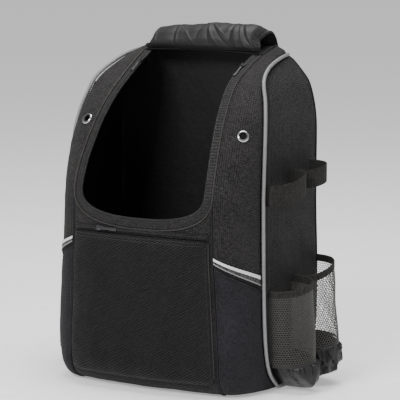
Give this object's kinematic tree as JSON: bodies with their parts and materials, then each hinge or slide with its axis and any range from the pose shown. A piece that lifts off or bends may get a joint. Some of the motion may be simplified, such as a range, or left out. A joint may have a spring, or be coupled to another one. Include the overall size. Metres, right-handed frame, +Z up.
{
  "type": "baseball bat backpack",
  "caption": "Upright sports backpack with a U-shaped front opening unzipped and its flap thrown back, a front zip pocket, and net bat sleeves with elastic bat loops on both sides.",
  "frame": {"origin": "middle of the body's width and depth on the flat underside of the base", "axes": "+X to the viewer's right, -Y to the front with the big opening, +Y to the side with the shoulder straps, +Z up"},
  "size_m": [0.4591, 0.3064, 0.5302],
  "materials": {
    "upper_fabric": "square weave polyester",
    "lower_fabric": "smooth polyester",
    "lining_nylon": "thin shiny nylon",
    "boot_nylon": "thin satin nylon",
    "net": "open net",
    "elastic": "ribbed elastic",
    "zip_tape": "matt zip tape",
    "reflective_piping": "grey reflective",
    "reflective_trim": "pale reflective film",
    "dark_metal": "gunmetal",
    "pad_fabric": "air mesh over foam",
    "webbing": "woven webbing",
    "buckle_plastic": "matt"
  },
  "bodies": {
    "root": {"front_panel": "upper_fabric", "gusset_upper_left": "upper_fabric", "gusset_upper_right": "upper_fabric", "gusset_lower_left": "lower_fabric", "gusset_lower_right": "lower_fabric", "side_panel_left": "upper_fabric", "side_panel_right": "upper_fabric", "back_panel": "lower_fabric", "base_panel": "lower_fabric", "top_strip": "upper_fabric", "opening_band": "zip_tape", "piping_left": "reflective_piping", "piping_right": "reflective_piping", "eyelet_left": "dark_metal", "eyelet_right": "dark_metal", "accent_left": "reflective_trim", "accent_right": "reflective_trim", "front_pocket": "lower_fabric", "pocket_tape": "zip_tape", "pocket_slider": "dark_metal", "main_slider_left": "dark_metal", "main_slider_right": "dark_metal", "sleeve_1": "net", "sleeve_2": "net", "sleeve_3": "net", "sleeve_4": "net", "binding_1": "elastic", "binding_2": "elastic", "binding_3": "elastic", "binding_4": "elastic", "boot_left": "boot_nylon", "boot_right": "boot_nylon", "bat_loop_left_1": "elastic", "bat_loop_left_2": "elastic", "bat_loop_right_1": "elastic", "bat_loop_right_2": "elastic", "flap": "lining_nylon", "back_pad": "pad_fabric", "shoulder_strap_left": "pad_fabric", "shoulder_strap_right": "pad_fabric", "ladder_lock_left": "buckle_plastic", "ladder_lock_right": "buckle_plastic", "strap_webbing_left": "webbing", "strap_webbing_right": "webbing", "haul_loop": "webbing"}
  },
  "joints": []
}
